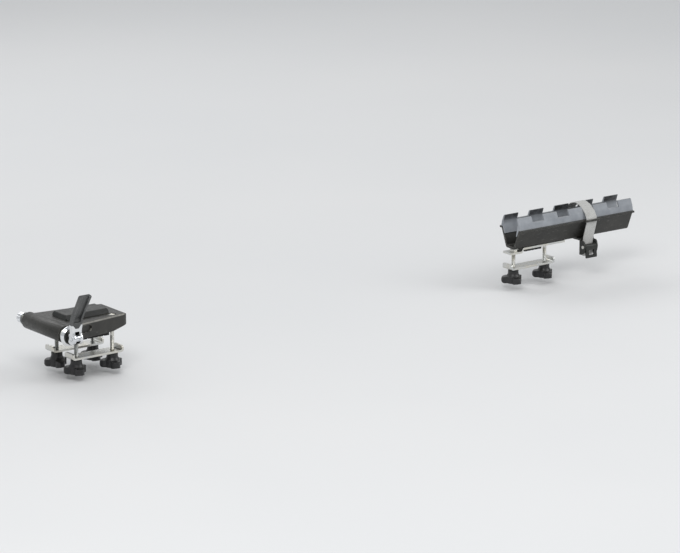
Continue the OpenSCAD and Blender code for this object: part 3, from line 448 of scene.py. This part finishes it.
def join(*shapes):
    """Points and faces of several shapes as one."""
    points, faces = [], []
    for more, sides in shapes:
        faces += [tuple(k + len(points) for k in face) for face in sides]
        points += more
    return points, faces


def closed_rings(count, sides):
    """Faces of a row of closed rings of points, with a face over each end."""
    faces = []
    for i in range(count - 1):
        for j in range(sides):
            a = i * sides + j
            b = i * sides + (j + 1) % sides
            faces.append((a, b, b + sides, a + sides))
    faces.append(tuple(range(sides - 1, -1, -1)))
    faces.append(tuple(range((count - 1) * sides, count * sides)))
    return faces


def tube(path, radius, sides):
    """Round wire along a path, closed at both ends."""
    points = []
    for i, here in enumerate(path):
        along = (path[min(i + 1, len(path) - 1)] - path[max(i - 1, 0)]).normalized()
        across = along.cross(Vector((0, 1, 0))).normalized()
        level = along.cross(across)
        for k in range(sides):
            turn = 2 * math.pi * k / sides
            points.append(here + radius * (math.cos(turn) * across + math.sin(turn) * level))
    return points, closed_rings(len(path), sides)


# Webbing strap: the same route as its solid, woven in twill with firm edges
MM = 0.001
STRAP_X = 0.89945
STRAP_WIDTH = 0.020
STRAP_HALF_THICK = 0.00092
STRAP_CORNERS = [(12.61, 9.0), (17.05, 20.0), (27.6, 32.0), (27.6, 38.5), (22.0, 47.9),
                 (11.28, 55.94), (0.0, 59.3), (-11.28, 55.94), (-22.0, 47.9), (-27.6, 38.5),
                 (-27.6, 32.0), (-19.0, 3.0), (-19.0, -21.0)]
STRAP_CORNER_CUT = 2.2 * MM
STRAP_CORNER_STEPS = 6
STRAP_SMOOTHING = 2
SHORTEST = 1e-9
WEAVE_STEP = 0.0008
WEAVE_HEIGHT = 0.00010
TWILL_REPEAT = 4
YARNS = 26
# Share of the thickness at the outer yarns, counted from the edge, and at the sealed ends
SELVEDGE = (0.45, 0.95, 1.06, 1.0)
SEALED_ROWS, SEALED_SHARE = 2, 0.75


def strap_line():
    """The strap's corners, rounded off."""
    corners = [Vector((y * MM, z * MM)) for y, z in STRAP_CORNERS]
    line = [corners[0]]
    for before, here, after in zip(corners, corners[1:], corners[2:]):
        a = here + (before - here).normalized() * STRAP_CORNER_CUT
        b = here + (after - here).normalized() * STRAP_CORNER_CUT
        for step in range(STRAP_CORNER_STEPS + 1):
            t = step / STRAP_CORNER_STEPS
            line.append((1 - t) ** 2 * a + 2 * t * (1 - t) * here + t * t * b)
    line.append(corners[-1])
    return line


def strap_route():
    """Points along the strap, evenly spaced, with their outward directions."""
    line = strap_line()
    lengths = [0.0]
    for a, b in zip(line, line[1:]):
        lengths.append(lengths[-1] + (b - a).length)
    count = int(lengths[-1] / WEAVE_STEP)
    route = []
    k = 0
    for i in range(count + 1):
        want = lengths[-1] * i / count
        while k < len(line) - 2 and lengths[k + 1] < want:
            k += 1
        share = (want - lengths[k]) / max(lengths[k + 1] - lengths[k], SHORTEST)
        route.append(line[k].lerp(line[k + 1], share))
    out = []
    for i, here in enumerate(route):
        ahead, behind = route[min(i + STRAP_SMOOTHING, count)], route[max(i - STRAP_SMOOTHING, 0)]
        along = (ahead - behind).normalized()
        out.append((here, Vector((-along.y, along.x))))
    return out


def make_strap(materials):
    route = strap_route()
    points = []
    ring = 2 * (YARNS + 1)
    for i, (here, normal) in enumerate(route):
        rows_from_end = min(i, len(route) - 1 - i)
        sealed = SEALED_SHARE if rows_from_end < SEALED_ROWS else 1.0
        for k in range(ring):
            face = 1 if k <= YARNS else -1
            j = k if face > 0 else ring - 1 - k
            x = STRAP_X - STRAP_WIDTH / 2 + STRAP_WIDTH * j / YARNS
            edge = min(j, YARNS - j, len(SELVEDGE) - 1)
            height = STRAP_HALF_THICK * SELVEDGE[edge]
            if edge == len(SELVEDGE) - 1:
                over = (i + face * j) % TWILL_REPEAT < TWILL_REPEAT / 2
                height += WEAVE_HEIGHT if over else -WEAVE_HEIGHT
            place = here + normal * face * height * sealed
            points.append((x, place.x, place.y))
    faces = closed_rings(len(route), ring)
    add_piece("strap_webbing", points, faces, "carrier", "webbing", materials, "wheel_strap")


# Cone springs: round wire on the same helix as their solids
AXLE_X = -0.061
AXLE_Z = 0.018
LEVER_ANGLE = math.radians(90)
SPRING_WIRE = 0.0008
SPRING_WIRE_SIDES = 10
SPRING_SMALL, SPRING_LARGE = 0.0032, 0.0058
SPRING_START, SPRING_END = 0.0555, 0.0575
SPRING_TURNS = 2
SPRING_STEPS = 40


def spring(near):
    """One cone spring, at the near or the far end of the axle."""
    path = []
    for i in range(SPRING_TURNS * SPRING_STEPS + 1):
        share = i / (SPRING_TURNS * SPRING_STEPS)
        turn = 2 * math.pi * i / SPRING_STEPS
        r = SPRING_SMALL + (SPRING_LARGE - SPRING_SMALL) * share
        out = SPRING_START + (SPRING_END - SPRING_START) * share
        turn = turn + LEVER_ANGLE if near else -turn
        path.append(Vector((AXLE_X + r * math.cos(turn), -out if near else out,
                            AXLE_Z + r * math.sin(turn))))
    return tube(path, SPRING_WIRE / 2, SPRING_WIRE_SIDES)


def make_springs(materials):
    points, faces = join(spring(True), spring(False))
    add_piece("cone_springs", points, faces, "skewer", "zinc_steel", materials, "skewer_springs")


# Clamp bolts: the solids' own sizes, with rolled threads, a plain shank and a hexagon head
BOLT_RADIUS = 0.003
BOLT_TIP = -0.0438
BOLT_TIP_SHARE, BOLT_TIP_TURNS = 0.82, 2
BOLT_SHARP_ANGLE = math.radians(35)
THREAD_TOP = -0.002
THREAD_PITCH = 0.001
THREAD_ROOT = 0.0024
THREAD_PROFILE = (0.00242, 0.0027, 0.00298, 0.00285)
THREAD_SIDES = 20
SHANK_TAPER = 0.0006
SHANK_INTO_HEAD = 0.0005
SHANK_SIDES = 28
HEAD_SIDES = 6
HEAD_ACROSS = 0.010
HEAD_CORNER = HEAD_ACROSS / 2 / math.cos(math.pi / HEAD_SIDES)
HEAD_HEIGHT = 0.004
# Rings of the chamfered head: height above its seat, and share of the corner radius
HEAD_RINGS = ((0.0, 0.94), (0.0002, 1.0), (HEAD_HEIGHT - 0.0006, 1.0),
              (HEAD_HEIGHT - 0.0001, 0.88), (HEAD_HEIGHT, 0.82), (HEAD_HEIGHT - 0.0003, 0.60))
# Faces lower than this lie on the flat ends of the thread, and points nearer than this are one
FLAT_FACE = 1e-6
SAME_POINT = 1e-7
BOLT_X = 0.030
BOLT_ROW = 0.025
REAR_BAR_X = 0.8
BLOCK_HEAD_SEAT = 0.0235
BRACKET_HEAD_SEAT = 0.001
TRAY_HEAD_SEAT = 0.009


def turned(profile, sides):
    """A closed solid of rings, each a height with a radius."""
    points = []
    for z, radius in profile:
        for k in range(sides):
            turn = 2 * math.pi * k / sides
            points.append(Vector((radius * math.cos(turn), radius * math.sin(turn), z)))
    return points, closed_rings(len(profile), sides)


def thread():
    """One helical ridge from the bolt's tip to the top of its thread, open at both ends."""
    steps = len(THREAD_PROFILE)
    turns = int((THREAD_TOP - BOLT_TIP) / THREAD_PITCH) + 2
    points, faces = [], []
    for row in range(steps * turns):
        for k in range(THREAD_SIDES):
            z = BOLT_TIP + THREAD_PITCH * (row / steps + k / THREAD_SIDES - 1)
            fade = min(1.0, max(0.0, (z - BOLT_TIP) / (BOLT_TIP_TURNS * THREAD_PITCH)))
            radius = THREAD_PROFILE[row % steps] * (BOLT_TIP_SHARE + (1 - BOLT_TIP_SHARE) * fade)
            turn = 2 * math.pi * k / THREAD_SIDES
            points.append(Vector((radius * math.cos(turn), radius * math.sin(turn),
                                  min(max(z, BOLT_TIP), THREAD_TOP))))
    for row in range(steps * (turns - 1) - 1):
        for k in range(THREAD_SIDES):
            a = row * THREAD_SIDES + k
            b = a + 1 if k < THREAD_SIDES - 1 else (row + steps) * THREAD_SIDES
            quad = (a, b, b + THREAD_SIDES, a + THREAD_SIDES)
            heights = [points[i].z for i in quad]
            if max(heights) - min(heights) > FLAT_FACE:
                faces.append(quad)
    return points, faces


def bolt(x, y, seat):
    """One bolt, with its head standing on the seat."""
    shank = turned([(THREAD_TOP - SHANK_TAPER, THREAD_ROOT), (THREAD_TOP, BOLT_RADIUS),
                    (seat + SHANK_INTO_HEAD, BOLT_RADIUS)], SHANK_SIDES)
    head = turned([(seat + z, share * HEAD_CORNER) for z, share in HEAD_RINGS], HEAD_SIDES)
    points, faces = join(thread(), shank, head)
    return [p + Vector((x, y, 0)) for p in points], faces


def close_ends(mesh):
    """Joins doubled points of a mesh and fills its open rims."""
    shell = bmesh.new()
    shell.from_mesh(mesh)
    bmesh.ops.remove_doubles(shell, verts=shell.verts, dist=SAME_POINT)
    rims = [edge for edge in shell.edges if edge.is_boundary]
    bmesh.ops.holes_fill(shell, edges=rims, sides=0)
    bmesh.ops.recalc_face_normals(shell, faces=shell.faces)
    shell.to_mesh(mesh)
    shell.free()


def make_bolts(materials):
    block = [(x, y, BLOCK_HEAD_SEAT)
             for x in (-BOLT_X, BOLT_X) for y in (-BOLT_ROW, BOLT_ROW)]
    tray = [(REAR_BAR_X - BOLT_X, 0.0, BRACKET_HEAD_SEAT),
            (REAR_BAR_X + BOLT_X, 0.0, TRAY_HEAD_SEAT)]
    for name, solid, places in (("block_bolts", "front_bolts", block),
                                ("tray_bolts", "rear_bolts", tray)):
        points, faces = join(*(bolt(*place) for place in places))
        piece = add_piece(name, points, faces, "carrier", "zinc_steel", materials, solid)
        close_ends(piece.data)
        piece.data.set_sharp_from_angle(angle=BOLT_SHARP_ANGLE)


def dress_solids(materials):
    """Gives each solid the material of its slot in the record."""
    slots = {row["node"]: row["material_slot"] for row in frame["record"]["subparts"]}
    for name, obj in nodes.items():
        material = materials[slots[name]]
        if not obj.material_slots:
            obj.data.materials.append(material)
        for place in obj.material_slots:
            place.material = material


# Width of the softened edges by node; the other solids keep their own edges
SOFT_EDGES = {
    "fork_block": 0.0006, "block_cover": 0.0007, "wheel_tray": 0.0005, "tray_bracket": 0.0003,
    "near_finger_strip": 0.0005, "far_finger_strip": 0.0005, "cam_lever": 0.0004,
    "lever_grip": 0.0005, "cam_seat": 0.0004, "buckle_frame": 0.0004, "buckle_lever": 0.0004,
    "near_clamp_plate": 0.0003, "far_clamp_plate": 0.0003, "rear_clamp_plate": 0.0003,
}
SOFT_EDGE_ANGLE = math.radians(40)
SOFT_EDGE_SEGMENTS = 2
WELD_DISTANCE = 0.00001


def soften_edges():
    """Rounds the sharp edges of the main solids, as moulding and deburring leave them."""
    for name, width in SOFT_EDGES.items():
        weld = nodes[name].modifiers.new("weld", "WELD")
        weld.merge_threshold = WELD_DISTANCE
        bevel = nodes[name].modifiers.new("soft_edges", "BEVEL")
        bevel.width = width
        bevel.segments = SOFT_EDGE_SEGMENTS
        bevel.limit_method = "ANGLE"
        bevel.angle_limit = SOFT_EDGE_ANGLE
        bevel.harden_normals = True


# The floor lies below the lowest place that the knobs reach when the clamps are undone
FLOOR_DROP = 0.010
FLOOR_HALF = 9.0
FLOOR_COLOURS = ((0.78, 0.785, 0.79), (0.81, 0.81, 0.81))
SKY_COLOUR = (0.96, 0.98, 1.0, 1.0)
SKY_STRENGTH = 0.56
# Lamps: name, place, target, size and power
LAMPS = (
    ("key", (-1.3, -1.7, 2.2), (0.35, 0, 0), (1.6, 1.2), 36),
    ("fill", (2.3, -1.5, 1.5), (0.5, 0, 0), (1.6, 1.6), 20),
    ("rim", (0.6, 2.0, 1.5), (0.4, 0, 0), (2.2, 0.8), 10),
)


def make_floor():
    z = solid_box[0][2] - FLOOR_DROP
    corners = [(-FLOOR_HALF, -FLOOR_HALF, z), (FLOOR_HALF, -FLOOR_HALF, z),
               (FLOOR_HALF, FLOOR_HALF, z), (-FLOOR_HALF, FLOOR_HALF, z)]
    mesh = bpy.data.meshes.new("floor")
    mesh.from_pydata(corners, [], [(0, 1, 2, 3)])
    mesh.materials.append(ground("pale_floor", *FLOOR_COLOURS))
    floor = bpy.data.objects.new("floor", mesh)
    scene.collection.objects.link(floor)


def make_lights():
    world = bpy.data.worlds.new("studio")
    world.use_nodes = True
    sky = world.node_tree.nodes["Background"]
    sky.inputs["Color"].default_value = SKY_COLOUR
    sky.inputs["Strength"].default_value = SKY_STRENGTH
    scene.world = world
    for name, place, target, size, power in LAMPS:
        data = bpy.data.lights.new(name, "AREA")
        data.shape = "RECTANGLE"
        data.size, data.size_y = size
        data.energy = power
        aimed(bpy.data.objects.new(name, data), place, target)


make_camera()
make_floor()
make_lights()
materials = make_materials()
dress_solids(materials)
make_strap(materials)
make_springs(materials)
make_bolts(materials)
soften_edges()
